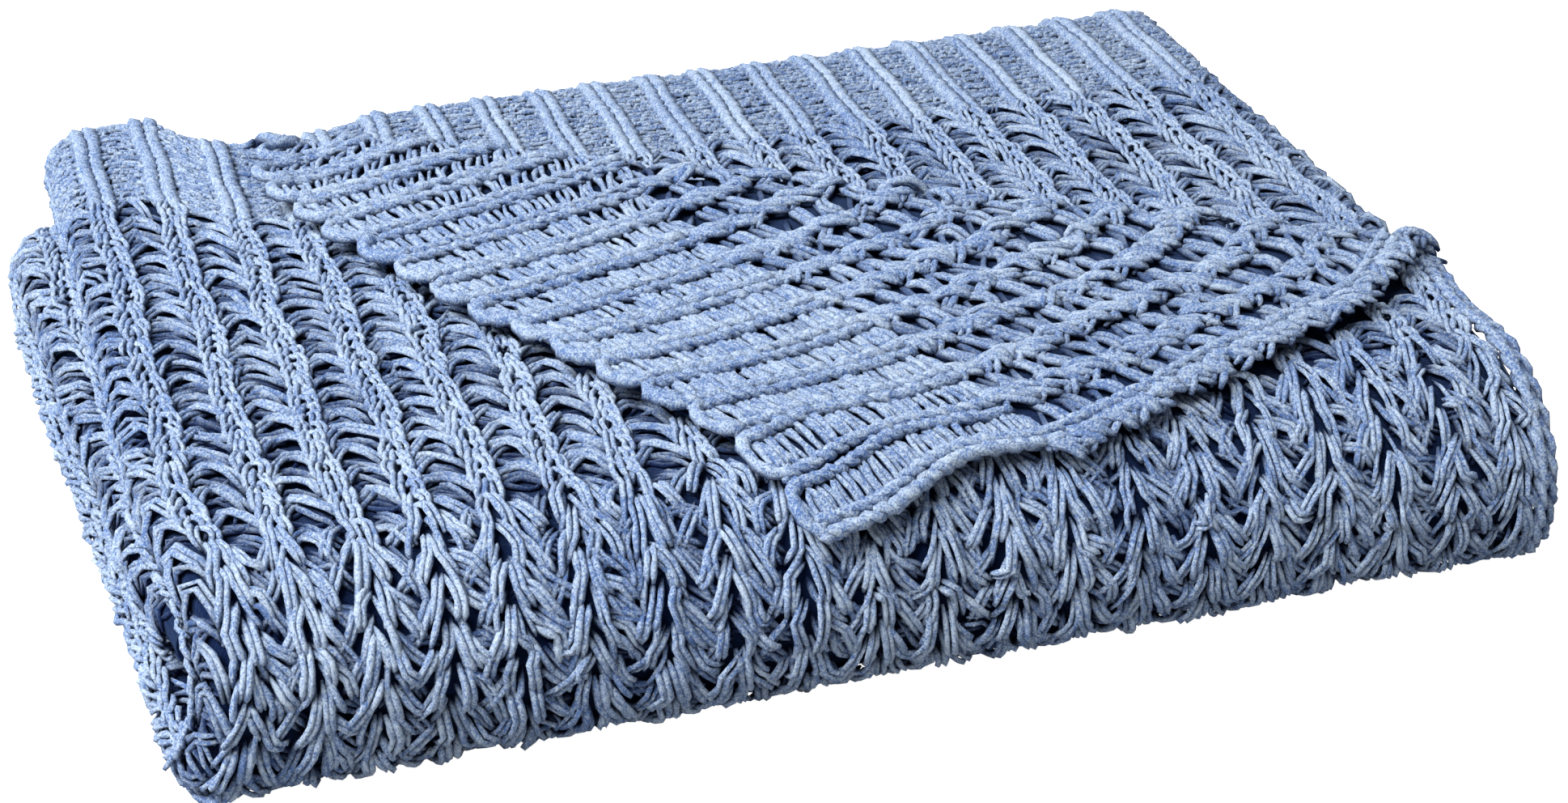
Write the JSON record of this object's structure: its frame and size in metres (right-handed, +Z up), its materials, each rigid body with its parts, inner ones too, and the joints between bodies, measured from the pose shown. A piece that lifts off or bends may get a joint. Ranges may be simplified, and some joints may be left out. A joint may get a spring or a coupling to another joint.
{
  "type": "folded knit throw blanket",
  "caption": "Chunky knitted chenille throw, folded flat in thirds and over on itself, ribbed, with one corner turned back across the top.",
  "frame": {"origin": "middle of the bounding box, at the flat underside", "axes": "+X along the rounded front fold, to the right as seen from the front; +Y to the back; +Z up"},
  "size_m": [0.631, 0.5244, 0.116],
  "materials": {
    "knit": "soft matt chenille pile, cornflower blue"
  },
  "bodies": {
    "root": {"blanket": "knit"}
  },
  "joints": []
}
